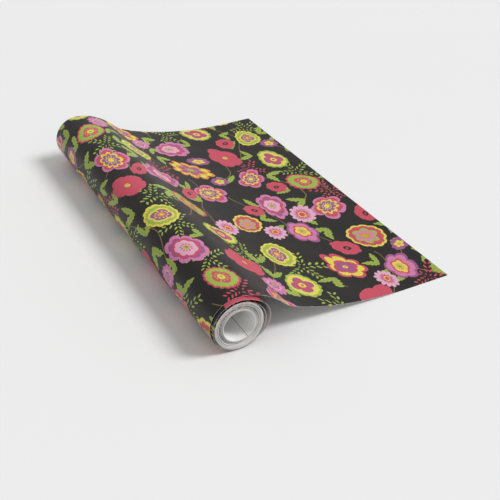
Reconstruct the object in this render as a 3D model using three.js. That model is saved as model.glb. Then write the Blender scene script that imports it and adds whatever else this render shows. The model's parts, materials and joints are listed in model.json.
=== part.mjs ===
// A roll of gift wrap: a long paper web wound on a board core, with its free end drawn off
// over the top of the roll and down onto the table.
// Millimetres, +Z up. The roll's axis runs along Y and the free end points along +X.
// The origin is the centre of the object's footprint, on the table.
import * as THREE from 'three';

// Paper web. It is modelled thicker than real wrap so that each stretch is a sound solid.
const PAPER_WIDTH = 500;
const PAPER_WALL = 0.4;

// Board core and the white ply that lines its bore. The ply's last stretch steps inwards and laps over its
// first, and the lap's edge makes the seam that shows in the bore.
const BORE_RADIUS = 18.2;
const LINER_WALL = 0.4;
const LINER_SEAM_ANGLE = -60;
const LINER_LAP_ANGLE = 14;
const LINER_LAP_CLEARANCE = 0.12;
const LINER_STEP_ANGLE = 23;
const LINER_STEP_MARGIN = 5;
const CORE_WALL = 1.0;
const CORE_LENGTH = 500;
const SEAT_GAP = 0.3;

// Turns: ten tight ones in the pack, one slack one round it, and the outer turn that rests on the table
const TIGHT_TURNS = 10;
const TIGHT_PITCH = 0.9;
const LOOSE_PITCH = 1.25;
const OUTER_SLACK = 0.45;
const TELESCOPE = 6.5;
const OUTER_END_ANGLE = 65;
const OUTER_BULGE = 6.2;
const BULGE_START_ANGLE = 270;
const BULGE_SKEW = 1.35;

// Strip of tape that holds the inner end of the web on the core
const TAPE_WALL = 0.12;
const TAPE_LENGTH = 60;
const TAPE_BACK_ANGLE = 24;
const TAPE_FRONT_ANGLE = 16;
const TAPE_CLEARANCE = 0.15;
const TAPE_OVERHANG_ANGLE = 1;

// Slope from the top of the roll down to the table, as two Bezier curves that meet half way
const CREST_HANDLE = 25;
const SLOPE_MIDDLE = { x: 58.4, drop: 27.8, angle: 45.8, handleUp: 18.5, handleDown: 15.2 };
const LANDING_HANDLE = 88;
const LANDING_X = 228;

// Where one stretch of the web hands over to the next
const OUTER_TURN_REACH = 130;
const RUN_REACH = 200;
const FLAP_HINGE_X = 226;
const SHEET_REACH = 280.7;

// Fineness of the curves: degrees to a step, millimetres to a step along the slope, and counts
const TURN_STEP = 10;
const OUTER_STEP = 5;
const TAPE_STEP = 2;
const SLOPE_STEP = 4;
const SLOPE_SAMPLES = 600;
const TUBE_SEGMENTS = 72;

// Sizes that follow from the ones above
const linerOuter = BORE_RADIUS + LINER_WALL;
const coreInner = linerOuter + SEAT_GAP;
const coreOuter = coreInner + CORE_WALL;
const packInner = coreOuter + SEAT_GAP;
const looseInner = packInner + TIGHT_TURNS * TIGHT_PITCH;
const woundOuter = looseInner + LOOSE_PITCH + PAPER_WALL;
const outerRadius = woundOuter + OUTER_SLACK + PAPER_WALL;
const axisHeight = outerRadius;
const coreStartY = -TELESCOPE;

const materials = {
  print: new THREE.MeshStandardMaterial({ color: 0x302b29, roughness: 0.55 }),
  back: new THREE.MeshStandardMaterial({ color: 0xd9d7d2, roughness: 0.8 }),
  board: new THREE.MeshStandardMaterial({ color: 0xbbb9b4, roughness: 0.9 }),
  liner: new THREE.MeshStandardMaterial({ color: 0xcfccc6, roughness: 0.85 }),
  tape: new THREE.MeshStandardMaterial({ color: 0xe6e2d4, roughness: 0.3 }),
};

const roll = new THREE.Group();
roll.position.set((outerRadius - SHEET_REACH) / 2, (TELESCOPE - PAPER_WIDTH) / 2, 0);

function addPiece(name, geometry, material) {
  const mesh = new THREE.Mesh(geometry, material);
  mesh.name = name;
  roll.add(mesh);
}

// A point beside the roll's axis, by its angle from +X towards +Z
function polar(radius, degrees) {
  const turn = THREE.MathUtils.degToRad(degrees);
  return new THREE.Vector2(radius * Math.cos(turn), axisHeight + radius * Math.sin(turn));
}

// Points along an arc whose radius varies with the angle
function arcPoints(fromAngle, toAngle, step, radiusAt) {
  const count = Math.ceil(Math.abs(toAngle - fromAngle) / step);
  const points = [];
  for (let i = 0; i <= count; i++) {
    const angle = THREE.MathUtils.lerp(fromAngle, toAngle, i / count);
    points.push(polar(radiusAt(angle), angle));
  }
  return points;
}

// A strip of constant wall: its outer face follows the points, its inner face lies to their left
function stripGeometry(points, wall, startY, width) {
  const inner = points.map((point, i) => {
    const before = points[Math.max(i - 1, 0)];
    const after = points[Math.min(i + 1, points.length - 1)];
    const along = after.clone().sub(before).normalize();
    return new THREE.Vector2(point.x - along.y * wall, point.y + along.x * wall);
  });
  const outline = new THREE.Shape([...points, ...inner.reverse()]);
  const geometry = new THREE.ExtrudeGeometry(outline, { depth: width, bevelEnabled: false });
  geometry.rotateX(Math.PI / 2);
  geometry.translate(0, startY + width, 0);
  return geometry;
}

// The slope's upper face, from the crest of the roll to the table
const middle = new THREE.Vector2(SLOPE_MIDDLE.x, 2 * outerRadius - SLOPE_MIDDLE.drop);
const middleTurn = THREE.MathUtils.degToRad(SLOPE_MIDDLE.angle);
const downhill = new THREE.Vector2(Math.cos(middleTurn), -Math.sin(middleTurn));
const slope = new THREE.CurvePath();
slope.add(new THREE.CubicBezierCurve(
  new THREE.Vector2(0, 2 * outerRadius),
  new THREE.Vector2(CREST_HANDLE, 2 * outerRadius),
  middle.clone().addScaledVector(downhill, -SLOPE_MIDDLE.handleUp),
  middle,
));
slope.add(new THREE.CubicBezierCurve(
  middle,
  middle.clone().addScaledVector(downhill, SLOPE_MIDDLE.handleDown),
  new THREE.Vector2(LANDING_X - LANDING_HANDLE, PAPER_WALL),
  new THREE.Vector2(LANDING_X, PAPER_WALL),
));
const slopeSamples = slope.getSpacedPoints(SLOPE_SAMPLES);

function slopeHeight(x) {
  if (x >= LANDING_X) return PAPER_WALL;
  const next = Math.max(1, slopeSamples.findIndex((point) => point.x >= x));
  const before = slopeSamples[next - 1];
  const after = slopeSamples[next];
  return THREE.MathUtils.mapLinear(x, before.x, after.x, before.y, after.y);
}

function slopePoints(fromX, toX) {
  const count = Math.ceil((toX - fromX) / SLOPE_STEP);
  const points = [];
  for (let i = 0; i <= count; i++) {
    const x = THREE.MathUtils.lerp(fromX, toX, i / count);
    points.push(new THREE.Vector2(x, slopeHeight(x)));
  }
  return points;
}

function tubeGeometry(boreRadius, skinRadius, startY, length) {
  const profile = [
    new THREE.Vector2(boreRadius, 0),
    new THREE.Vector2(skinRadius, 0),
    new THREE.Vector2(skinRadius, length),
    new THREE.Vector2(boreRadius, length),
    new THREE.Vector2(boreRadius, 0),
  ];
  const geometry = new THREE.LatheGeometry(profile, TUBE_SEGMENTS);
  geometry.translate(0, startY, axisHeight);
  return geometry;
}

// Core tube
addPiece('core_tube', tubeGeometry(coreInner, coreOuter, coreStartY, CORE_LENGTH), materials.board);

// Liner: once round the bore, with its last stretch lapped inside its first
const linerEnd = LINER_SEAM_ANGLE + 360;
const linerStart = LINER_SEAM_ANGLE - LINER_LAP_ANGLE;
const stepEnd = linerStart + 360 - LINER_STEP_MARGIN;
const lapStep = LINER_WALL + LINER_LAP_CLEARANCE;
const linerRadius = (angle) => linerOuter
  - lapStep * THREE.MathUtils.smoothstep(angle, stepEnd - LINER_STEP_ANGLE, stepEnd);
addPiece(
  'core_liner',
  stripGeometry(arcPoints(linerStart, linerEnd, OUTER_STEP, linerRadius), LINER_WALL, coreStartY, CORE_LENGTH),
  materials.liner,
);

// Tight turns, from the slack turn inwards to the core; the web's inner end lies on the core
const tightStart = OUTER_END_ANGLE + 360;
const tightEnd = tightStart + 360 * TIGHT_TURNS;
const tightRadius = (angle) => looseInner + PAPER_WALL - TIGHT_PITCH * (angle - tightStart) / 360;
// Half the gap between butted stretches, as an angle
const handover = SEAT_GAP / woundOuter * THREE.MathUtils.RAD2DEG / 2;
addPiece(
  'tight_turns',
  stripGeometry(
    arcPoints(tightStart + handover, tightEnd, TURN_STEP, tightRadius),
    PAPER_WALL, -TELESCOPE, PAPER_WIDTH,
  ),
  materials.back,
);

// Slack turn round the pack
const looseRadius = (angle) => woundOuter - LOOSE_PITCH * (angle - OUTER_END_ANGLE) / 360;
addPiece(
  'loose_turn',
  stripGeometry(
    arcPoints(OUTER_END_ANGLE, tightStart - handover, OUTER_STEP, looseRadius),
    PAPER_WALL, -TELESCOPE / 2, PAPER_WIDTH,
  ),
  materials.print,
);

// Tape: over the inner end of the web and onto the core behind it
const tapeBack = tightEnd + TAPE_BACK_ANGLE;
const tapeFront = tightEnd - TAPE_FRONT_ANGLE;
const tapeLow = coreOuter + TAPE_CLEARANCE + TAPE_WALL;
const tapeRise = PAPER_WALL + SEAT_GAP;
const tapeRadius = (angle) => tapeLow
  + tapeRise * (1 - THREE.MathUtils.smoothstep(
    angle, tightEnd + TAPE_OVERHANG_ANGLE, tightEnd + TAPE_BACK_ANGLE / 2,
  ));
addPiece(
  'start_tape',
  stripGeometry(
    arcPoints(tapeFront, tapeBack, TAPE_STEP, tapeRadius),
    TAPE_WALL, -TELESCOPE + PAPER_WIDTH / 2 - TAPE_LENGTH / 2, TAPE_LENGTH,
  ),
  materials.tape,
);

// Outer turn: up the slope to the crest, down the left side, under the roll, and up the right side to its
// inner end beneath the slope
function outerTurnRadius(angle) {
  const share = Math.max(0, (angle - BULGE_START_ANGLE) / (OUTER_END_ANGLE + 360 - BULGE_START_ANGLE));
  return outerRadius + OUTER_BULGE * Math.sin(Math.PI * share ** BULGE_SKEW) ** 2;
}
const outerWrap = arcPoints(90, OUTER_END_ANGLE + 360, OUTER_STEP, outerTurnRadius);
const outerSlope = slopePoints(0, OUTER_TURN_REACH).slice(1).reverse();
addPiece(
  'outer_turn',
  stripGeometry([...outerSlope, ...outerWrap], PAPER_WALL, 0, PAPER_WIDTH),
  materials.print,
);

// Stretch of the slope that lengthens as the sheet is drawn off, the sheet, and its free end
function slopeStretch(name, fromX, toX) {
  const points = slopePoints(fromX + SEAT_GAP / 2, toX - SEAT_GAP / 2).reverse();
  addPiece(name, stripGeometry(points, PAPER_WALL, 0, PAPER_WIDTH), materials.print);
}
slopeStretch('paper_run', OUTER_TURN_REACH + SEAT_GAP / 2, RUN_REACH);
slopeStretch('free_sheet', RUN_REACH, FLAP_HINGE_X);
slopeStretch('sheet_end', FLAP_HINGE_X, SHEET_REACH + SEAT_GAP / 2);

export default roll;
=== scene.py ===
"""A partly unrolled roll of gift wrap: printed paper on a board core, on a pale table."""

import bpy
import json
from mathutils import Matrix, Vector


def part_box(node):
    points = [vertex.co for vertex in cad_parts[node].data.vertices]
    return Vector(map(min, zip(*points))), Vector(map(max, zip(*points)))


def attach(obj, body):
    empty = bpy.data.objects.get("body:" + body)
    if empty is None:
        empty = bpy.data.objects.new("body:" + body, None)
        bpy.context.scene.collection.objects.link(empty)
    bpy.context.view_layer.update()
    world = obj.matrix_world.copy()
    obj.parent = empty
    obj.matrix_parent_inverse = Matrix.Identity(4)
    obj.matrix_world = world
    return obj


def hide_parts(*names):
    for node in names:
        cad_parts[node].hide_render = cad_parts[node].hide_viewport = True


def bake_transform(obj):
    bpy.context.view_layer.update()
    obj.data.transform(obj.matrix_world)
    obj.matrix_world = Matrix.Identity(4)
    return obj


bl_info = {
    "name": "Gift Wrap Roll",
    "version": (1, 0, 0),
    "blender": (4, 5, 0),
    "location": "3D View > Sidebar > Gift Wrap",
    "description": "Builds a roll of flower-printed gift wrap with its free end drawn off over the top",
    "category": "Object",
}

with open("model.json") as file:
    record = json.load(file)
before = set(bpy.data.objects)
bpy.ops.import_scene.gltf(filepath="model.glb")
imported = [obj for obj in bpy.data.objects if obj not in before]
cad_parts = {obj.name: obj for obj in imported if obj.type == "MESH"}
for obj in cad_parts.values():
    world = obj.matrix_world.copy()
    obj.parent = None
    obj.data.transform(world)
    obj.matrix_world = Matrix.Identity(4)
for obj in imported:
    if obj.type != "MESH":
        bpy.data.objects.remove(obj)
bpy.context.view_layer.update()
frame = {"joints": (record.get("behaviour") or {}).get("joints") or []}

import bisect
import json
import math

import bmesh
import bpy
from bpy.props import FloatProperty, FloatVectorProperty, IntProperty, PointerProperty
from mathutils import Vector, noise
from mathutils.geometry import interpolate_bezier

MM = 0.001
TURN = math.tau

# The roll as the frame has it: the outer turn rests on the table, so its height is its diameter.
outer_low, outer_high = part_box("outer_turn")
ROLL_RADIUS = outer_high.z / 2
AXIS_X = outer_low.x + ROLL_RADIUS
AXIS_Z = ROLL_RADIUS
NEAR_Y, FAR_Y = outer_low.y, outer_high.y
RUN_REACH_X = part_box("paper_run")[1].x
SHEET_END_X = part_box("sheet_end")[1].x
CORE_NEAR_Y, CORE_FAR_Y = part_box("core_tube")[0].y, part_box("core_tube")[1].y
TELESCOPE = NEAR_Y - CORE_NEAR_Y
WEB_WIDTH = FAR_Y - NEAR_Y


def node_radius(node):
    low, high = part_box(node)
    return (high.x - low.x) / 2


CORE_RADIUS = node_radius("core_tube")
PACK_RADIUS = node_radius("tight_turns")
PULL = next(j for j in frame["joints"] if j["name"] == "sheet_pull")["range_m"][1]

# The slope of the drawn-off paper, as two curves that meet half way down, from the roll's crest
CREST_HANDLE = 25 * MM
MIDDLE_X, MIDDLE_DROP, MIDDLE_ANGLE = 58.4 * MM, 27.8 * MM, math.radians(45.8)
MIDDLE_HANDLES = 18.5 * MM, 15.2 * MM
LANDING_X, LANDING_HANDLE = 228 * MM, 88 * MM
UPPER_STEPS, LOWER_STEPS = 160, 240

# The outer turn swells on its way back up the right side, and ends under the slope
OUTER_END = math.radians(425)
SWELL_START, SWELL, SWELL_SKEW = math.radians(270), 6.2 * MM, 1.35
SLACK_SWELL = 2.8 * MM
OUTER_STEPS = 480

# How far the web's near edge already stands out where the outer turn ends and the slack turn begins
SLACK_TELESCOPE = 0.85 * TELESCOPE

# The pack lies a little inside the frame's pack, and its innermost turn clears the core
PACK_INSET, CORE_GAP = 0.2 * MM, 0.13 * MM

# The pack stands open in a few crescents: how far in each lies, as a share of its turns, and how wide it is.
# Each opens over one turn, which starts this share of a turn early, and every other one on the opposite side.
PACK_GAPS = (
    (0.12, 0.45 * MM), (0.32, 0.65 * MM), (0.52, 0.85 * MM), (0.72, 1.15 * MM), (0.86, 0.90 * MM),
    (0.97, 0.40 * MM),
)
GAP_LEAD = 0.58

# How the turns' edges stray at the end of the pack: a slow drift, and a small jog from turn to turn
DRIFT_RATE, JOG_RATE, JOG_SHARE = 0.15, 5.1, 0.05

# The liner's last stretch steps inwards, by so many of its thicknesses, and laps over its first
LINER_LAP = math.radians(14)
LAP_STEP, LAP_STEP_BEFORE, LAP_STEP_LENGTH = 1.3, 2 * LINER_LAP, 1.8 * LINER_LAP
LINER_GAP = 0.02 * MM

# The tape's reach round the core, and where along it steps down from the web onto the bare core
TAPE_START, TAPE_END = math.radians(41), math.radians(81)
TAPE_STEP_FROM, TAPE_STEP_LENGTH = 0.62, 0.13
TAPE_WALL, TAPE_GAP, TAPE_OVER_WEB = 0.05 * MM, 0.06 * MM, 0.16 * MM

# The web is cut into two sheets just past the stretch that feeds
SEAM_PAST_RUN = 3 * MM

# The free paper's waves: how fine they are along and across, and over what length they die out at each end
WAVES_ALONG, WAVES_ACROSS = 14, 7
CREST_FADE, TABLE_FADE = 40 * MM, 60 * MM

# How finely the pieces are cut into cells
STEPS_A_TURN, CORE_STEPS, LINER_STEPS, TAPE_STEPS = 96, 144, 200, 40
WEB_CELLS, END_CELLS = (210, 40), (60, 40)
CELLS_ACROSS_PACK, CELLS_ACROSS_LINER, CELLS_ACROSS_TAPE = 3, 2, 6

# The rounding of the core's rims, the angle past which an edge is such a rim, and the one past which it is
# shaded as a sharp edge
CORE_BEVEL = 0.12 * MM
CORNER_ANGLE, SHARP_ANGLE = math.radians(60), math.radians(40)

# Half the table's side, and how far its top lies under the paper
TABLE_HALF, TABLE_DROP = 6.0, 0.1 * MM

# The camera's sensor, in millimetres, and how near and how far it sees
SENSOR_WIDTH = 36.0
CLIP_START, CLIP_END = 0.05, 30.0


class PaperSettings(bpy.types.PropertyGroup):
    thickness: FloatProperty(
        name="Thickness", description="How thick the wrap is", default=0.20 * MM, min=0.05 * MM, unit="LENGTH"
    )
    pack_turns: IntProperty(
        name="Turns", description="How many turns are wound tight on the core", default=20, min=4, max=60
    )
    loose_gap: FloatProperty(
        name="Slack", description="Gap between the slack turn and the outer turn", default=0.45 * MM,
        unit="LENGTH",
    )
    stagger: FloatProperty(
        name="Stagger", description="How unevenly the turns' edges stand at the end of the pack",
        default=0.5 * MM, unit="LENGTH",
    )
    dish: FloatProperty(
        name="Dish", description="How far the pack's innermost turn stands back from its outermost",
        default=1.2 * MM, unit="LENGTH",
    )
    ripple: FloatProperty(
        name="Ripple", description="How far the drawn-off paper strays from a true curve", default=0.35 * MM,
        unit="LENGTH",
    )
    roughness: FloatProperty(
        name="Roughness", description="Roughness of the printed face", default=0.40, subtype="FACTOR"
    )
    sheen: FloatProperty(
        name="Sheen", description="How strongly the printed face shines", default=0.30, subtype="FACTOR"
    )
    back: FloatVectorProperty(
        name="Back", description="Colour of the unprinted face and cut edges", default=(0.76, 0.755, 0.745),
        size=3, subtype="COLOR",
    )


def colour(name, description, default):
    return FloatVectorProperty(name=name, description=description, default=default, size=3, subtype="COLOR")


class PrintSettings(bpy.types.PropertyGroup):
    ground: colour("Ground", "Colour that floods the sheet behind the flowers", (0.012, 0.009, 0.0078))
    coral: colour("Coral", "Coral ink", (0.52, 0.065, 0.105))
    pink: colour("Pink", "Pink ink", (0.57, 0.18, 0.35))
    pale: colour("Pale pink", "Pale pink ink", (0.67, 0.37, 0.49))
    purple: colour("Purple", "Purple ink", (0.30, 0.085, 0.22))
    yellow: colour("Yellow", "Yellow ink", (0.68, 0.58, 0.08))
    orange: colour("Orange", "Orange ink", (0.65, 0.23, 0.045))
    green: colour("Green", "Green ink", (0.31, 0.42, 0.06))
    stem: colour("Stem", "Brown ink of the stems and leaf ribs", (0.22, 0.15, 0.045))
    columns: IntProperty(
        name="Columns", description="Columns of large flowers in one repeat along the web", default=6, min=2
    )
    row_pitch: FloatProperty(
        name="Row pitch", description="Distance between large flowers across the web", default=80 * MM,
        unit="LENGTH",
    )


class CoreSettings(bpy.types.PropertyGroup):
    wall: FloatProperty(name="Wall", description="Wall of the board tube", default=1.0 * MM, unit="LENGTH")
    liner_wall: FloatProperty(
        name="Liner", description="Thickness of the liner ply", default=0.2 * MM, unit="LENGTH"
    )
    lap_angle: FloatProperty(
        name="Lap place", description="Where the liner's lap lies round the bore", default=math.radians(-75),
        subtype="ANGLE",
    )
    board: colour("Board", "Colour of the core board", (0.50, 0.49, 0.46))
    liner: colour("Liner", "Colour of the liner ply", (0.83, 0.825, 0.81))
    tape: colour("Tape", "Colour of the tape at the start of the web", (0.72, 0.68, 0.56))


class StageSettings(bpy.types.PropertyGroup):
    table: colour("Table", "Colour of the table", (0.80, 0.80, 0.80))
    azimuth: FloatProperty(
        name="Azimuth", description="Camera's heading, from +Y", default=math.radians(-28.2), subtype="ANGLE"
    )
    elevation: FloatProperty(
        name="Elevation", description="Camera's height above the table", default=math.radians(32.91),
        subtype="ANGLE",
    )
    distance: FloatProperty(
        name="Distance", description="From the camera to what it aims at", default=1.105, unit="LENGTH"
    )
    aim: FloatVectorProperty(
        name="Aim", description="Point on the table that the camera aims at", default=(-0.0238, -0.0879, 0.0),
        size=3, subtype="TRANSLATION",
    )
    lens: FloatProperty(name="Lens", description="Focal length in millimetres", default=64.57)
    sun: FloatProperty(name="Key", description="Strength of the key light", default=2.15)
    sun_heading: FloatVectorProperty(
        name="Key's place", description="Direction in which the key light stands",
        default=(0.68, -0.40, 0.90), size=3, subtype="DIRECTION",
    )
    sun_spread: FloatProperty(
        name="Key's spread", description="How wide the key light looks", default=math.radians(22),
        subtype="ANGLE",
    )
    front: FloatProperty(name="Front", description="Strength of the light from the front", default=0.25)
    front_heading: FloatVectorProperty(
        name="Front's place", description="Direction in which the front light stands",
        default=(-0.35, -1.0, 0.45), size=3, subtype="DIRECTION",
    )
    front_spread: FloatProperty(
        name="Front's spread", description="How wide the front light looks", default=math.radians(70),
        subtype="ANGLE",
    )
    fill: FloatProperty(name="Fill", description="Brightness of the surroundings", default=0.52)


# ---------------------------------------------------------------- the web's path, in the X-Z plane

def swelling(angle):
    """How far a turn has swelled on its way up the right side, from 0 to 1 and back to 0 at its end."""
    share = max(0.0, (angle - SWELL_START) / (OUTER_END - SWELL_START))
    return math.sin(math.pi * share ** SWELL_SKEW) ** 2


def outer_radius(angle):
    """The outer turn's radius, by the angle from +X towards +Z."""
    return ROLL_RADIUS + SWELL * swelling(angle)


def beside_axis(radius, angle):
    return Vector((AXIS_X + radius * math.cos(angle), AXIS_Z + radius * math.sin(angle)))


def slope_points(thickness):
    """The printed face of the drawn-off paper, from its free end back to the crest of the roll."""
    crest = Vector((AXIS_X, 2 * ROLL_RADIUS))
    middle = crest + Vector((MIDDLE_X, -MIDDLE_DROP))
    downhill = Vector((math.cos(MIDDLE_ANGLE), -math.sin(MIDDLE_ANGLE)))
    landing = Vector((AXIS_X + LANDING_X, thickness))
    upper = interpolate_bezier(
        crest, crest + Vector((CREST_HANDLE, 0)), middle - MIDDLE_HANDLES[0] * downhill, middle, UPPER_STEPS
    )
    lower = interpolate_bezier(
        middle, middle + MIDDLE_HANDLES[1] * downhill, landing - Vector((LANDING_HANDLE, 0)), landing,
        LOWER_STEPS,
    )
    free_end = Vector((SHEET_END_X, thickness))
    return [free_end] + [Vector(p[:2]) for p in reversed(upper + lower[1:])]


def outer_turn_points():
    """On from the crest, down the left side, under the roll and up the right side."""
    start = TURN / 4
    angles = [start + (OUTER_END - start) * i / OUTER_STEPS for i in range(1, OUTER_STEPS + 1)]
    return [beside_axis(outer_radius(angle), angle) for angle in angles]


class Path:
    """A line in the X-Z plane that a point is found on by its distance from the line's start."""

    def __init__(self, points, start=0.0):
        self.points = points
        self.along = [start]
        for before, after in zip(points, points[1:]):
            self.along.append(self.along[-1] + (after - before).length)

    @property
    def length(self):
        return self.along[-1] - self.along[0]

    def place(self, distance):
        """How many of its points the line has passed at that distance, with the share of the next step."""
        low = min(max(bisect.bisect_right(self.along, distance) - 1, 0), len(self.along) - 2)
        share = (distance - self.along[low]) / (self.along[low + 1] - self.along[low])
        return low + min(max(share, 0.0), 1.0)

    def at(self, distance):
        """The point at that distance, and the direction to its right, which is the printed side."""
        place = self.place(distance)
        low = min(int(place), len(self.points) - 2)
        before, after = self.points[low], self.points[low + 1]
        ahead = (after - before).normalized()
        return before.lerp(after, place - low), Vector((ahead.y, -ahead.x))

    def distance_at_x(self, x):
        """The first distance at which the line is back at that x, on its way in from the free end."""
        for i, point in enumerate(self.points):
            if point.x <= x:
                before = self.points[i - 1]
                share = (before.x - x) / (before.x - point.x)
                return self.along[i - 1] + share * (self.along[i] - self.along[i - 1])
        raise ValueError("the path never reaches that x")


def smooth(share):
    share = min(max(share, 0.0), 1.0)
    return share * share * (3 - 2 * share)


def spiral_point(turns, paper):
    """The wound paper's printed face, by the turns counted inwards from its outer end."""
    angle = OUTER_END + TURN * turns
    slack = ROLL_RADIUS - paper.thickness - paper.loose_gap
    pack = PACK_RADIUS - PACK_INSET
    if turns <= 1:
        swell = SLACK_SWELL * swelling(angle - TURN)
        return beside_axis(slack + (pack - slack) * smooth(turns) + swell, angle)
    inner = CORE_RADIUS + CORE_GAP + paper.thickness
    gaps = sum(gap for _, gap in PACK_GAPS)
    inwards = (pack - inner - gaps) * (turns - 1) / paper.pack_turns
    for i, (share, gap) in enumerate(PACK_GAPS):
        opposite = 0.5 * (i % 2)
        starts = 1 + math.floor(share * paper.pack_turns) - GAP_LEAD + opposite
        inwards += gap * smooth(turns - starts)
    return beside_axis(pack - inwards, angle)


# ---------------------------------------------------------------- meshes

def finish_object(name, mesh, materials):
    made = bpy.data.objects.new(name, mesh)
    bpy.context.scene.collection.objects.link(made)
    for material in materials:
        mesh.materials.append(material)
    return made


def paper_sheet(
    name, path, span, cells, width, thickness, materials,
    edge_at=lambda distance: NEAR_Y, lift=None, feeds=False,
):
    """A thin closed sheet that follows the path over a span of its distances, in so many cells each way.

    edge_at gives the sheet's near edge at a distance; lift, if any, how far a point stands off the path.
    A sheet that feeds stretches along X when it moves, and its print has to follow.
    """
    mesh = bpy.data.meshes.new(name)
    bm = bmesh.new()
    bmesh.ops.create_grid(bm, x_segments=cells[0], y_segments=cells[1], size=1)
    bm.verts.index_update()
    web = bm.loops.layers.uv.new("Web")
    rest = bm.loops.layers.uv.new("Rest")
    start, stop = span
    where = {}
    for vertex in bm.verts:
        distance = start + (stop - start) * (vertex.co.x + 1) / 2
        across = width * (vertex.co.y + 1) / 2
        point, outward = path.at(distance)
        if lift:
            point = point + outward * lift(distance, across)
        vertex.co = (point.x, edge_at(distance) + across, point.y)
        where[vertex.index] = (distance, across)
    for face in bm.faces:
        for loop in face.loops:
            loop[web].uv = where[loop.vert.index]
            loop[rest].uv = (loop.vert.co.x, float(feeds))
        face.smooth = True
    bm.normal_update()
    bm.faces.ensure_lookup_table()
    outward = path.at(where[bm.faces[0].verts[0].index][0])[1]
    if bm.faces[0].normal.dot(Vector((outward.x, 0, outward.y))) < 0:
        bmesh.ops.reverse_faces(bm, faces=bm.faces[:])
    printed = set(bm.faces)
    bmesh.ops.solidify(bm, geom=bm.faces[:], thickness=thickness)
    bm.normal_update()
    for face in bm.faces:
        if face not in printed:
            face.material_index = 1
            face.smooth = True
    bmesh.ops.recalc_face_normals(bm, faces=bm.faces[:])
    bm.to_mesh(mesh)
    bm.free()
    mesh.set_sharp_from_angle(angle=SHARP_ANGLE)
    return finish_object(name, mesh, materials)


def tube(name, inner, outer, near_y, far_y, bevel, materials):
    """A tube round the roll's axis with its end corners rounded."""
    mesh = bpy.data.meshes.new(name)
    bm = bmesh.new()
    corners = [
        bm.verts.new((AXIS_X + radius, y, AXIS_Z))
        for radius, y in ((inner, near_y), (outer, near_y), (outer, far_y), (inner, far_y))
    ]
    edges = [bm.edges.new((corners[i], corners[(i + 1) % 4])) for i in range(4)]
    bmesh.ops.spin(
        bm, geom=corners + edges, cent=(AXIS_X, 0, AXIS_Z), axis=(0, 1, 0), angle=TURN, steps=CORE_STEPS,
        use_merge=True,
    )
    bmesh.ops.remove_doubles(bm, verts=bm.verts[:], dist=1e-6)
    rims = [edge for edge in bm.edges if edge.is_manifold and edge.calc_face_angle(0) > CORNER_ANGLE]
    bmesh.ops.bevel(bm, geom=rims, offset=bevel, affect="EDGES", segments=2, profile=0.5, material=-1)
    bmesh.ops.recalc_face_normals(bm, faces=bm.faces[:])
    for face in bm.faces:
        face.smooth = True
    bm.to_mesh(mesh)
    bm.free()
    mesh.set_sharp_from_angle(angle=SHARP_ANGLE)
    return finish_object(name, mesh, materials)


# ---------------------------------------------------------------- materials

class Number:
    """A number that varies over a surface. Python's operators on it add Math nodes."""

    def __init__(self, shader, socket):
        self.shader = shader
        self.socket = socket

    def math(self, operation, *values):
        node = self.shader.node("Math", {"operation": operation}, dict(enumerate(values)))
        return Number(self.shader, node.outputs[0])

    def __add__(self, other):
        return self.math("ADD", self, other)

    def __sub__(self, other):
        return self.math("SUBTRACT", self, other)

    def __rsub__(self, other):
        return self.math("SUBTRACT", other, self)

    def __mul__(self, other):
        return self.math("MULTIPLY", self, other)

    def __truediv__(self, other):
        return self.math("DIVIDE", self, other)

    def __rtruediv__(self, other):
        return self.math("DIVIDE", other, self)

    def __pow__(self, other):
        return self.math("POWER", self, other)

    def __mod__(self, other):
        return self.math("FLOORED_MODULO", self, other)

    def __lt__(self, other):
        return self.math("LESS_THAN", self, other)

    def __gt__(self, other):
        return self.math("GREATER_THAN", self, other)

    def __abs__(self):
        return self.math("ABSOLUTE", self)

    def __floor__(self):
        return self.math("FLOOR", self)

    __radd__ = __add__
    __rmul__ = __mul__

    def sine(self):
        return self.math("SINE", self)

    def cosine(self):
        return self.math("COSINE", self)

    def root(self):
        return self.math("SQRT", self)

    def least(self, other):
        return self.math("MINIMUM", self, other)

    def most(self, other):
        return self.math("MAXIMUM", self, other)


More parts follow.
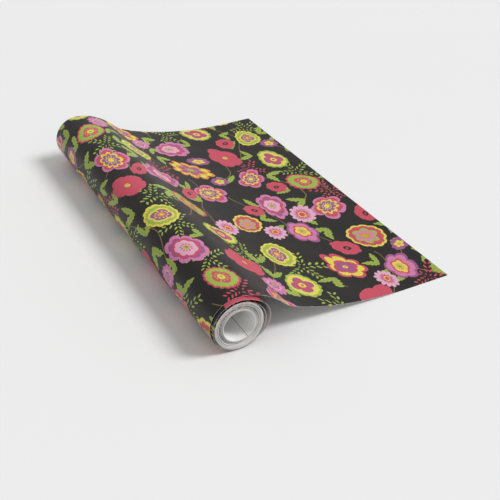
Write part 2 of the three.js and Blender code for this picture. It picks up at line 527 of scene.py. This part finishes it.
class Shader:
    """A material's nodes."""

    def __init__(self, name):
        self.material = bpy.data.materials.new(name)
        self.material.use_nodes = True
        self.tree = self.material.node_tree
        self.tree.nodes.clear()

    def node(self, kind, settings=None, values=None):
        """A shader node of that kind, with its settings made first and its sockets linked or filled after."""
        made = self.tree.nodes.new("ShaderNode" + kind)
        for key, value in (settings or {}).items():
            if key == "stops":
                self.fill_ramp(made.color_ramp, value)
            else:
                setattr(made, key, value)
        for key, value in (values or {}).items():
            if isinstance(value, Number):
                value = value.socket
            if isinstance(value, bpy.types.NodeSocket):
                self.tree.links.new(value, made.inputs[key])
            else:
                made.inputs[key].default_value = value
        return made

    @staticmethod
    def fill_ramp(ramp, stops):
        ramp.interpolation = "CONSTANT"
        while len(ramp.elements) < len(stops):
            ramp.elements.new(1.0)
        for element, (position, value) in zip(ramp.elements, stops):
            element.position = position
            element.color = (*value, 1.0)

    def number(self, node, output=0):
        return Number(self, node.outputs[output])

    def split(self, vector):
        node = self.node("SeparateXYZ", None, {0: vector})
        return [Number(self, socket) for socket in node.outputs]

    def join(self, x, y, z=0.0):
        return self.node("CombineXYZ", None, {0: x, 1: y, 2: z}).outputs[0]

    def mix(self, share, below, above):
        """Two colours mixed."""
        node = self.node("Mix", {"data_type": "RGBA"}, {"Factor": share, "A": rgba(below), "B": rgba(above)})
        return node.outputs["Result"]

    def look_up(self, index, rows):
        """One colour of a list of rows, by the row's number."""
        count = len(rows)
        ramp = self.node(
            "ValToRGB",
            {"stops": [(i / count, row) for i, row in enumerate(rows)]},
            {0: (index + 0.5) / count},
        )
        return ramp.outputs["Color"]

    def noise(self, vector, scale, detail, output=0):
        node = self.node(
            "TexNoise", None, {"Vector": vector, "Scale": scale, "Detail": detail, "Roughness": 0.55}
        )
        return self.number(node, output)

    def bump(self, height):
        """A normal that follows a height in metres."""
        node = self.node("Bump", None, {"Height": height, "Distance": 1.0, "Strength": 1.0})
        return node.outputs[0]

    def surface(self, sockets):
        shader = self.node("BsdfPrincipled", None, sockets)
        self.node("OutputMaterial", None, {"Surface": shader.outputs[0]})
        return self.material


def rgba(value):
    if isinstance(value, (Number, bpy.types.NodeSocket)):
        return value
    return (*value, 1.0)


def darker(tint, share):
    return tuple(share * channel for channel in tint)


# How far the print strays from its lattices: the scale of each noise, and how far that noise shifts it
STRAYS = ((170.0, 1.5 * MM), (38.0, 4 * MM), (10.0, 42 * MM))

# The printed face's grain and slow buckles, and how much its roughness varies
GRAIN_DEPTH, BUCKLE_DEPTH, ROUGHNESS_SPREAD = 0.02 * MM, 1.4 * MM, 0.10

# How deep the fibre of the unprinted paper is
FIBRE_DEPTH = 0.03 * MM

# Each flower of the print: its size in millimetres from centre to petal tip, how many petals it has and how
# deep their notches are, how much longer it is than wide, the reach of the band, inner petals and eye as
# shares of its size, the number and notch of the inner petals, and the inks of rim, band, inner petals'
# outline, inner petals and eye. The large ones come first. The last is a blank, and stands where a small
# flower makes room for a sprig.
FLOWERS = [
    dict(size=22, petals=14, notch=0.10, lean=0.03, band=0.85, inner=0.66, eye=0.20, inner_petals=4,
         inner_notch=0.30, inks="yellow green yellow purple orange"),
    dict(size=25, petals=6, notch=0.24, lean=0.05, band=0.86, inner=0.56, eye=0.12, inner_petals=5,
         inner_notch=0.28, inks="purple pink coral yellow green"),
    dict(size=22, petals=16, notch=0.09, lean=0.04, band=0.88, inner=0.70, eye=0.22, inner_petals=4,
         inner_notch=0.26, inks="coral green green coral yellow"),
    dict(size=27, petals=10, notch=0.30, lean=0.10, band=0.86, inner=0.66, eye=0.16, inner_petals=6,
         inner_notch=0.42, inks="orange yellow orange purple green"),
    dict(size=25, petals=5, notch=0.20, lean=0.06, band=0.90, inner=0.13, eye=0.07, inner_petals=6,
         inner_notch=0.30, inks="coral coral yellow orange green"),
    dict(size=22, petals=12, notch=0.11, lean=0.02, band=0.86, inner=0.62, eye=0.22, inner_petals=6,
         inner_notch=0.34, inks="yellow coral green pink orange"),
    dict(size=26, petals=8, notch=0.22, lean=0.10, band=0.78, inner=0.60, eye=0.13, inner_petals=7,
         inner_notch=0.18, inks="pink purple coral pale green"),
    dict(size=22, petals=13, notch=0.10, lean=0.05, band=0.86, inner=0.64, eye=0.20, inner_petals=4,
         inner_notch=0.40, inks="green yellow purple coral yellow"),
    dict(size=27, petals=7, notch=0.28, lean=0.12, band=0.84, inner=0.54, eye=0.12, inner_petals=4,
         inner_notch=0.22, inks="coral yellow coral purple yellow"),
    dict(size=24, petals=5, notch=0.34, lean=0.04, band=0.84, inner=0.62, eye=0.16, inner_petals=9,
         inner_notch=0.34, inks="pink coral yellow purple yellow"),
    dict(size=14, petals=8, notch=0.12, lean=0.05, band=0.80, inner=0.30, eye=0.26, inner_petals=8,
         inner_notch=0.10, inks="coral coral coral coral ground"),
    dict(size=16, petals=12, notch=0.30, lean=0.02, band=0.62, inner=0.44, eye=0.20, inner_petals=8,
         inner_notch=0.40, inks="pale pink coral yellow coral"),
    dict(size=13, petals=9, notch=0.20, lean=0.04, band=0.78, inner=0.56, eye=0.20, inner_petals=5,
         inner_notch=0.50, inks="purple purple yellow yellow orange"),
    dict(size=15, petals=12, notch=0.28, lean=0.03, band=0.56, inner=0.42, eye=0.16, inner_petals=6,
         inner_notch=0.30, inks="pink pale purple pink green"),
    dict(size=0.2, petals=4, notch=0.10, lean=0.0, band=0.5, inner=0.3, eye=0.1, inner_petals=4,
         inner_notch=0.1, inks="ground ground ground ground ground"),
]
LARGE = 10
SMALL = len(FLOWERS) - LARGE

# Look-ups hold numbers up to 1, so sizes and petals are kept there as shares of these
MOST_PETALS = 32
LARGEST = 32

# Flowers, sprigs and leaves are drawn this much longer across the web than along it
STRETCH = 1.25


class Lattice:
    """Staggered columns of cells over the web, each with random numbers and a spot near its middle."""

    def __init__(self, shader, along, across, pitch, rows, columns, seed, shift, jitter):
        u = along / pitch + shift[0]
        self.column = math.floor(u)
        v = across / rows + (self.column % 2) * 0.5 + shift[1]
        self.row = math.floor(v)
        self.repeat = self.column % columns
        place = shader.join(self.repeat + seed, self.row)
        spots = shader.node("TexWhiteNoise", {"noise_dimensions": "2D"}, {"Vector": place})
        self.random = shader.split(spots.outputs["Color"])
        self.chance = shader.number(spots, "Value")
        self.middle_x = (u - self.column - 0.5) * pitch
        self.x = self.middle_x - (self.random[0] - 0.5) * jitter[0]
        self.y = ((v - self.row - 0.5) * rows - (self.random[1] - 0.5) * jitter[1]) / STRETCH


def printed_material(inks, paper):
    """The printed face: flowers, sprigs, leaves and stems on a dark ground.

    The print repeats along the web with each full pull of the sheet.
    """
    shader = Shader("web_print")
    palette = {key: tuple(getattr(inks, key)) for key in (
        "ground", "coral", "pink", "pale", "purple", "yellow", "orange", "green", "stem"
    )}
    web_x, web_y, _ = shader.split(shader.node("UVMap", {"uv_map": "Web"}).outputs[0])
    rest_x, feeds, _ = shader.split(shader.node("UVMap", {"uv_map": "Rest"}).outputs[0])
    here = shader.node("TexCoord").outputs["Object"]
    # Paper that feeds out over the slope brings the print with it, so the print keeps its scale there.
    fed = feeds * (rest_x - shader.split(here)[0])
    along = web_x + fed
    across = web_y

    # The noise is read round a cylinder whose girth is the repeat, so that it repeats with the flowers.
    round_repeat = along * (TURN / PULL)
    girth = PULL / TURN
    sheet = shader.join(round_repeat.cosine() * girth, round_repeat.sine() * girth, across)
    for scale, reach in STRAYS:
        stray = shader.split(shader.noise(sheet, scale, 1.0, "Color"))
        along = along + (stray[0] - 0.5) * reach
        across = across + (stray[1] - 0.5) * reach

    def lattice(rows, seed, shift, jitter):
        return Lattice(shader, along, across, PULL / inks.columns, rows, inks.columns, seed, shift, jitter)

    large = lattice(inks.row_pitch, seed=3, shift=(0.0, 0.0), jitter=(10 * MM, 12 * MM))
    small = lattice(inks.row_pitch, seed=11, shift=(0.3, 0.5), jitter=(20 * MM, 20 * MM))
    leaf = lattice(inks.row_pitch / 2, seed=23, shift=(0.5, 0.25), jitter=(16 * MM, 12 * MM))

    picture = stems(shader, leaf, across, palette)
    picture = sprigs(shader, small, palette, picture)
    picture = leaves(shader, leaf, palette, picture)
    picture = flowers(shader, large, small, palette, picture)

    grain = shader.noise(here, 2600.0, 3.0)
    buckle = shader.noise(here, 16.0, 1.0)
    patches = shader.noise(here, 55.0, 3.0)
    return shader.surface({
        "Base Color": picture,
        "Roughness": patches * ROUGHNESS_SPREAD + (paper.roughness - ROUGHNESS_SPREAD / 2),
        "Specular IOR Level": paper.sheen,
        "Normal": shader.bump(grain * GRAIN_DEPTH + buckle * BUCKLE_DEPTH),
    })


def stems(shader, cell, across, palette):
    """Thin stems that wander over the web between the columns of large flowers."""
    wave_length, reach, half_width, share_drawn = 190 * MM, 19 * MM, 0.6 * MM, 0.8
    column_phase = 2.4
    sway = (across * (TURN / wave_length) + cell.repeat * column_phase).sine() * reach
    on_stem = (abs(cell.middle_x - sway) < half_width) * (cell.chance < share_drawn)
    return shader.mix(on_stem, palette["ground"], palette["stem"])


def sprigs(shader, cell, palette, below):
    """Fans of small leaflets in green or coral, where no small flower stands."""
    branches, bare_middle, fan_reach = 5, 3.2 * MM, 25 * MM
    step, stand_off, lean = 6.4 * MM, 2.7 * MM, math.radians(38)
    half_length, half_width = 2.7 * MM, 1.05 * MM
    share_bare, share_coral = 0.48, 0.5
    x, y = cell.x, cell.y
    reach = (x * x + y * y).root()
    fold = TURN / branches
    angle = x.math("ARCTAN2", y, x) + cell.random[0] * TURN
    folded = angle % fold - fold / 2
    beat = (reach * folded.cosine()) % step - step / 2
    aside = abs(reach * folded.sine()) - stand_off
    length = beat * math.cos(lean) + aside * math.sin(lean)
    width = aside * math.cos(lean) - beat * math.sin(lean)
    leaflet = ((length / half_length) ** 2 + (width / half_width) ** 2) < 1.0
    inside = (reach < fan_reach) * (reach > bare_middle)
    here = leaflet * inside * (cell.chance > share_bare)
    ink = shader.mix(cell.random[2] < share_coral, palette["coral"], palette["green"])
    return shader.mix(here, below, ink)


def leaves(shader, cell, palette, below):
    """Pairs of wavy leaves with a brown rib."""
    length, half_width, open_angle, back = 23 * MM, 4.0 * MM, math.radians(34), 9 * MM
    bow, wave_depth, waves = 1.2 * MM, 0.75 * MM, 4.5
    half_rib, rib_reach, rib_strength = 0.34 * MM, 0.8, 0.7
    fullness, share_drawn, shade = 0.8, 0.76, 0.82
    turn = cell.random[2] * TURN
    x = cell.x * turn.cosine() + cell.y * turn.sine() + back
    y = abs(cell.y * turn.cosine() - cell.x * turn.sine())
    along = (x * math.cos(open_angle) + y * math.sin(open_angle)) / length
    across = y * math.cos(open_angle) - x * math.sin(open_angle)
    across = across + (along * math.pi).sine() * bow
    within = (along > 0.0) * (along < 1.0)
    belly = (along * math.pi).sine().most(0.0) ** fullness
    edge = belly * half_width + (along * (TURN * waves)).sine() * belly * wave_depth
    blade = (abs(across) < edge) * within * (cell.chance < share_drawn)
    rib = (abs(across) < half_rib) * (along < rib_reach) * blade
    tint = shader.mix(cell.random[0], palette["green"], darker(palette["green"], shade))
    picture = shader.mix(blade, below, tint)
    return shader.mix(rib * rib_strength, picture, palette["stem"])


def petal_curve(angle, petals, roundness):
    """From nearly 0 in the notches between petals to about 1 at the middle of each."""
    return (abs((angle * petals * 0.5).cosine()) + 0.001) ** roundness


def flowers(shader, large, small, palette, below):
    """Every flower of the print is drawn once, with its sizes and inks looked up by its kind."""
    # Kinds step on by row and column, so that most neighbours differ, and by chance to one of two.
    kind_large = (large.repeat * 3 + large.row * 4 + math.floor(large.chance * 1.99)) % LARGE
    # Past the small kinds that are drawn, every chance falls to the blank.
    kind_small = math.floor(small.chance * 8.5).least(SMALL - 1.0) + LARGE
    shares = [(row["size"] / LARGEST, row["petals"] / MOST_PETALS, row["notch"]) for row in FLOWERS]

    def outline(kind, cell):
        size, petals, notch = shader.split(shader.look_up(kind, shares))
        distance = (cell.x * cell.x + cell.y * cell.y).root() / (size * (LARGEST * MM))
        return distance, petals, notch

    far_large, petals_large, notch_large = outline(kind_large, large)
    far_small, petals_small, notch_small = outline(kind_small, small)
    pick = far_small < far_large

    def pick_from(of_large, of_small):
        return of_large + pick * (of_small - of_large)

    distance = far_small.least(far_large)
    kind = pick_from(kind_large, kind_small)
    petals = pick_from(petals_large, petals_small) * MOST_PETALS
    notch = pick_from(notch_large, notch_small)
    x, y = pick_from(large.x, small.x), pick_from(large.y, small.y)
    spin = pick_from(large.random[2], small.random[2]) * TURN
    angle = x.math("ARCTAN2", y, x) + spin

    reaches = [(row["band"], row["inner"], row["eye"]) for row in FLOWERS]
    inner_shapes = [(row["inner_petals"] / MOST_PETALS, row["inner_notch"], row["lean"]) for row in FLOWERS]
    band, inner, eye = shader.split(shader.look_up(kind, reaches))
    inner_petals, inner_notch, lean = shader.split(shader.look_up(kind, inner_shapes))
    scallop = petal_curve(angle, petals, 0.55)
    rim_edge = (1.0 - notch * (1.0 - scallop)) * (1.0 - lean + lean * (angle * 2.0).cosine())
    lobe = petal_curve(angle, inner_petals * MOST_PETALS, 0.6)
    inner_edge = inner * (1.0 - inner_notch * (1.0 - lobe))

    inks = [[palette[name] for name in row["inks"].split()] for row in FLOWERS]
    rim_ink, band_ink, line_ink, petal_ink, eye_ink = (
        shader.look_up(kind, [row[i] for row in inks]) for i in range(5)
    )
    # Streaks from the eye outwards, a shade lighter and darker than the ink
    streaks_round, streaks_out = 31.0, 9.0
    streak = (angle * streaks_round).sine() * (distance * streaks_out + spin * 3.0).sine()
    faint, plain = 0.10, 0.14
    picture = shader.mix(distance < rim_edge, below, shaded(shader, rim_ink, streak, faint))
    picture = shader.mix(distance < rim_edge * band, picture, shaded(shader, band_ink, streak, plain))
    picture = shader.mix(distance < inner_edge, picture, line_ink)
    inside_line = distance < inner_edge * 0.82 - 0.02
    picture = shader.mix(inside_line, picture, shaded(shader, petal_ink, streak, plain))
    # A ring of seeds round the eye, and a dot in its middle
    seed_ring, half_seed, seeds_round, dot = 1.55, 0.045, 11.0, 0.42
    seeds = (abs(distance - eye * seed_ring) < half_seed) * ((angle * seeds_round).sine() > 0.1)
    picture = shader.mix(seeds, picture, line_ink)
    picture = shader.mix(distance < eye, picture, eye_ink)
    return shader.mix(distance < eye * dot, picture, line_ink)


def shaded(shader, ink, streak, strength):
    """An ink made a little lighter and darker along the streaks."""
    scaled = shader.node("VectorMath", {"operation": "SCALE"}, {0: ink, "Scale": 1.0 + streak * strength})
    return scaled.outputs[0]


def plain_paper(name, tint, roughness, seam=None):
    """Uncoated paper with a fine fibre.

    A seam, if any, is how far along the sheet a painted shadow shows beside a lap: a dark line that stands
    for the shade at the lap's edge.
    """
    half_seam_shadow = 0.55 * MM
    shader = Shader(name)
    here = shader.node("TexCoord").outputs["Object"]
    cloud = shader.noise(here, 60.0, 3.0)
    fibres = shader.noise(here, 1900.0, 4.0)
    base = shader.mix(cloud, darker(tint, 0.94), tint)
    face = shader.mix(fibres > 0.66, base, darker(tint, 0.86))
    if seam:
        along = shader.split(shader.node("UVMap", {"uv_map": "Web"}).outputs[0])[0]
        # Painted shadow: a dark line along the lap's edge stands for the shade that the lapped ply casts
        # there
        face = shader.mix(abs(along - seam) < half_seam_shadow, face, darker(tint, 0.18))
    return shader.surface({
        "Base Color": face, "Roughness": cloud * 0.08 + roughness,
        "Normal": shader.bump(fibres * FIBRE_DEPTH),
    })


def board_material(core):
    """Core board: plies that show as fine rings on the cut ends."""
    plies_in_wall, ply_depth, fibre_depth = 4, 0.04 * MM, 0.06 * MM
    shader = Shader("core_board")
    here = shader.node("TexCoord").outputs["Object"]
    x, _, z = shader.split(here)
    radius = ((x - AXIS_X) ** 2 + (z - AXIS_Z) ** 2).root()
    plies = (radius * (TURN / (core.wall / plies_in_wall))).sine() * 0.5 + 0.5
    fibres = shader.noise(here, 1500.0, 4.0)
    tint = tuple(core.board)
    base = shader.mix(plies * 0.5, tint, darker(tint, 0.72))
    flecked = shader.mix(fibres > 0.64, base, darker(tint, 0.7))
    return shader.surface({
        "Base Color": flecked, "Roughness": fibres * 0.1 + 0.8,
        "Normal": shader.bump(plies * ply_depth + fibres * fibre_depth),
    })


def tape_material(core):
    """Clear tape, slightly yellow, with fine creases along its length."""
    crease_depth = 0.02 * MM
    shader = Shader("start_tape")
    here = shader.node("TexCoord").outputs["Object"]
    creases = shader.noise(here, 700.0, 2.0)
    base = shader.mix(creases, tuple(core.tape), darker(core.tape, 0.85))
    return shader.surface({
        "Base Color": base, "Roughness": creases * 0.2 + 0.2, "Alpha": 0.8,
        "Normal": shader.bump(creases * crease_depth),
    })


def table_material(stage):
    shader = Shader("table_top")
    here = shader.node("TexCoord").outputs["Object"]
    cloud = shader.noise(here, 3.0, 2.0)
    base = shader.mix(cloud, darker(stage.table, 0.985), tuple(stage.table))
    return shader.surface({"Base Color": base, "Roughness": cloud * 0.05 + 0.75})


# ---------------------------------------------------------------- pieces

def web_path(paper):
    return Path(slope_points(paper.thickness) + outer_turn_points())


def seam_distance(path):
    """Where along the web its end becomes a sheet of its own."""
    return path.distance_at_x(RUN_REACH_X + SEAM_PAST_RUN)


def paper_materials(scene):
    """The web's printed face and its plain back and cut edges."""
    found = [bpy.data.materials.get(name) for name in ("web_print", "web_back")]
    if all(found):
        return found
    paper = scene.wrap_paper
    return [
        printed_material(scene.wrap_print, paper),
        plain_paper("web_back", tuple(paper.back), 0.70),
    ]


class WRAP_OT_core(bpy.types.Operator):
    """Make the board core"""

    bl_idname = "wrap.core"
    bl_label = "Core"

    def execute(self, context):
        core = context.scene.wrap_core
        board = tube(
            "core_board_tube", CORE_RADIUS - core.wall, CORE_RADIUS, CORE_NEAR_Y, CORE_FAR_Y, CORE_BEVEL,
            [board_material(core)],
        )
        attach(board, "roll")
        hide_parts("core_tube")
        return {"FINISHED"}


class WRAP_OT_liner(bpy.types.Operator):
    """Make the ply that lines the core: it goes once round, and its last stretch laps over its first"""

    bl_idname = "wrap.liner"
    bl_label = "Core liner"

    def execute(self, context):
        core = context.scene.wrap_core
        outer = CORE_RADIUS - core.wall - LINER_GAP
        points = []
        for i in range(LINER_STEPS + 1):
            turned = (TURN + LINER_LAP) * i / LINER_STEPS
            stepped_in = smooth((turned - TURN + LAP_STEP_BEFORE) / LAP_STEP_LENGTH)
            radius = outer - LAP_STEP * core.liner_wall * stepped_in
            points.append(beside_axis(radius, core.lap_angle + turned))
        path = Path(points)
        outside = plain_paper("liner_outside", tuple(core.liner), 0.8)
        # The ply's inner face carries a painted shadow line along the lap's edge
        inside = plain_paper("liner_ply", tuple(core.liner), 0.8, seam=LINER_LAP * outer)
        width = CORE_FAR_Y - CORE_NEAR_Y
        liner = paper_sheet(
            "core_liner_ply", path, (0, path.length), (LINER_STEPS, CELLS_ACROSS_LINER), width,
            core.liner_wall, [outside, inside], lambda distance: CORE_NEAR_Y,
        )
        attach(liner, "roll")
        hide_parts("core_liner")
        return {"FINISHED"}


class WRAP_OT_tape(bpy.types.Operator):
    """Make the tape that runs from the start of the web down onto the bare core"""

    bl_idname = "wrap.tape"
    bl_label = "Start tape"

    def execute(self, context):
        scene = context.scene
        low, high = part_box("start_tape")
        step_up = scene.wrap_paper.thickness + TAPE_OVER_WEB
        points = []
        for i in range(TAPE_STEPS + 1):
            share = i / TAPE_STEPS
            stepped_down = smooth((share - TAPE_STEP_FROM) / TAPE_STEP_LENGTH)
            radius = CORE_RADIUS + TAPE_GAP + step_up * (1 - stepped_down)
            points.append(beside_axis(radius, TAPE_START + (TAPE_END - TAPE_START) * share))
        path = Path(points)
        clear = tape_material(scene.wrap_core)
        width = high.y - low.y
        tape = paper_sheet(
            "web_start_tape", path, (0, path.length), (TAPE_STEPS, CELLS_ACROSS_TAPE), width, TAPE_WALL,
            [clear, clear], lambda distance: low.y,
        )
        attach(tape, "roll")
        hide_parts("start_tape")
        return {"FINISHED"}


class WRAP_OT_wound(bpy.types.Operator):
    """Make the paper that is still wound on the core"""

    bl_idname = "wrap.wound"
    bl_label = "Wound paper"

    def execute(self, context):
        paper = context.scene.wrap_paper
        steps = STEPS_A_TURN * (paper.pack_turns + 1)
        start = web_path(paper).length
        path = Path([spiral_point(i / STEPS_A_TURN, paper) for i in range(steps + 1)], start)

        def near_edge(distance):
            """The edge comes out over the slack turn, and then steps back inwards over the pack."""
            turn = path.place(distance) / STEPS_A_TURN
            settled = smooth(turn)
            forward = SLACK_TELESCOPE + (TELESCOPE - SLACK_TELESCOPE) * settled
            back = paper.dish * turn / paper.pack_turns
            drift = noise.noise(Vector((turn * DRIFT_RATE, 0.3, 0)))
            jog = JOG_SHARE * noise.noise(Vector((turn * JOG_RATE, 4, 0)))
            return NEAR_Y - forward + back + paper.stagger * (drift + jog) * settled

        wound = paper_sheet(
            "wound_paper", path, (start, start + path.length), (steps, CELLS_ACROSS_PACK), WEB_WIDTH,
            paper.thickness, paper_materials(context.scene), near_edge,
        )
        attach(wound, "roll")
        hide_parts("tight_turns", "loose_turn")
        return {"FINISHED"}


class WRAP_OT_web(bpy.types.Operator):
    """Make the outer turn and the drawn-off paper down to the table"""

    bl_idname = "wrap.web"
    bl_label = "Outer turn and slope"

    def execute(self, context):
        paper = context.scene.wrap_paper
        path = web_path(paper)
        split = seam_distance(path)
        crest = path.distance_at_x(AXIS_X)

        def near_edge(distance):
            """Past the crest the web's near edge comes forward, towards that of the wound paper."""
            angle = TURN / 4 + (distance - crest) / ROLL_RADIUS
            return NEAR_Y - SLACK_TELESCOPE * smooth((angle - TURN / 4) / (OUTER_END - TURN / 4))

        def ripple(distance, across):
            """Gentle waves in the free paper, which die out at the crest and on the table."""
            free = smooth((crest - distance) / CREST_FADE) * smooth((distance - split) / TABLE_FADE)
            place = Vector((distance * WAVES_ALONG, across * WAVES_ACROSS, 1.7))
            return paper.ripple * free * noise.noise(place)

        web = paper_sheet(
            "printed_web", path, (split, path.length), WEB_CELLS, WEB_WIDTH, paper.thickness,
            paper_materials(context.scene), near_edge, ripple, feeds=True,
        )
        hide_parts("outer_turn", "paper_run")
        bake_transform(web)
        path.length - split
        return {"FINISHED"}


class WRAP_OT_end(bpy.types.Operator):
    """Make the end of the sheet, which lies on the table"""

    bl_idname = "wrap.end"
    bl_label = "Sheet end"

    def execute(self, context):
        paper = context.scene.wrap_paper
        path = web_path(paper)
        split = seam_distance(path)
        end = paper_sheet(
            "printed_sheet_end", path, (0, split), END_CELLS, WEB_WIDTH, paper.thickness,
            paper_materials(context.scene),
        )
        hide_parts("free_sheet", "sheet_end")
        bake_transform(end)
        return {"FINISHED"}


class WRAP_OT_stage(bpy.types.Operator):
    """Make the table, the lights and the camera"""

    bl_idname = "wrap.stage"
    bl_label = "Table, lights and camera"

    def execute(self, context):
        scene = context.scene
        stage = scene.wrap_stage
        self.make_table(stage)
        self.make_lights(scene, stage)
        self.make_camera(scene, stage)
        scene.view_settings.view_transform = "Standard"
        return {"FINISHED"}

    def make_table(self, stage):
        mesh = bpy.data.meshes.new("table_top")
        bm = bmesh.new()
        bmesh.ops.create_grid(bm, x_segments=2, y_segments=2, size=TABLE_HALF)
        bmesh.ops.translate(bm, verts=bm.verts[:], vec=(0, 0, -TABLE_DROP))
        bm.to_mesh(mesh)
        bm.free()
        finish_object("table_top", mesh, [table_material(stage)])

    def make_lights(self, scene, stage):
        world = bpy.data.worlds.new("surroundings")
        world.use_nodes = True
        background = world.node_tree.nodes["Background"]
        background.inputs["Color"].default_value = (1, 1, 1, 1)
        background.inputs["Strength"].default_value = stage.fill
        scene.world = world
        self.make_sun(scene, "key", stage.sun, stage.sun_heading, stage.sun_spread)
        self.make_sun(scene, "front", stage.front, stage.front_heading, stage.front_spread)

    def make_sun(self, scene, name, strength, heading, spread):
        light = bpy.data.lights.new(name, "SUN")
        light.energy = strength
        light.angle = spread
        sun = bpy.data.objects.new(name, light)
        sun.rotation_mode = "QUATERNION"
        sun.rotation_quaternion = (-Vector(heading)).to_track_quat("-Z", "Y")
        scene.collection.objects.link(sun)

    def make_camera(self, scene, stage):
        data = bpy.data.cameras.new("camera")
        data.lens = stage.lens
        data.sensor_width = SENSOR_WIDTH
        data.clip_start, data.clip_end = CLIP_START, CLIP_END
        camera = bpy.data.objects.new("camera", data)
        level = math.cos(stage.elevation)
        back = Vector((
            math.sin(stage.azimuth) * level, -math.cos(stage.azimuth) * level, math.sin(stage.elevation)
        ))
        camera.location = Vector(stage.aim) + back * stage.distance
        camera.rotation_mode = "QUATERNION"
        camera.rotation_quaternion = (-back).to_track_quat("-Z", "Y")
        scene.collection.objects.link(camera)
        scene.camera = camera


class WRAP_PT_panel(bpy.types.Panel):
    """Settings and makers of the gift wrap roll"""

    bl_idname = "WRAP_PT_panel"
    bl_label = "Gift Wrap Roll"
    bl_space_type = "VIEW_3D"
    bl_region_type = "UI"
    bl_category = "Gift Wrap"

    def draw(self, context):
        scene = context.scene
        for settings in (scene.wrap_paper, scene.wrap_print, scene.wrap_core, scene.wrap_stage):
            box = self.layout.box()
            for name in type(settings).__annotations__:
                box.prop(settings, name)
        for operator in OPERATORS:
            self.layout.operator(operator.bl_idname)


SETTINGS = {
    "wrap_paper": PaperSettings,
    "wrap_print": PrintSettings,
    "wrap_core": CoreSettings,
    "wrap_stage": StageSettings,
}
OPERATORS = (
    WRAP_OT_stage, WRAP_OT_core, WRAP_OT_liner, WRAP_OT_tape, WRAP_OT_wound, WRAP_OT_web, WRAP_OT_end,
)


def register():
    for kind in (*SETTINGS.values(), *OPERATORS, WRAP_PT_panel):
        bpy.utils.register_class(kind)
    for name, kind in SETTINGS.items():
        setattr(bpy.types.Scene, name, PointerProperty(type=kind))


def unregister():
    for name in SETTINGS:
        delattr(bpy.types.Scene, name)
    for kind in (WRAP_PT_panel, *OPERATORS, *SETTINGS.values()):
        bpy.utils.unregister_class(kind)


def main():
    register()
    bpy.ops.wrap.stage()
    bpy.ops.wrap.core()
    bpy.ops.wrap.liner()
    bpy.ops.wrap.tape()
    bpy.ops.wrap.wound()
    bpy.ops.wrap.web()
    bpy.ops.wrap.end()


if __name__ == "__main__":
    main()
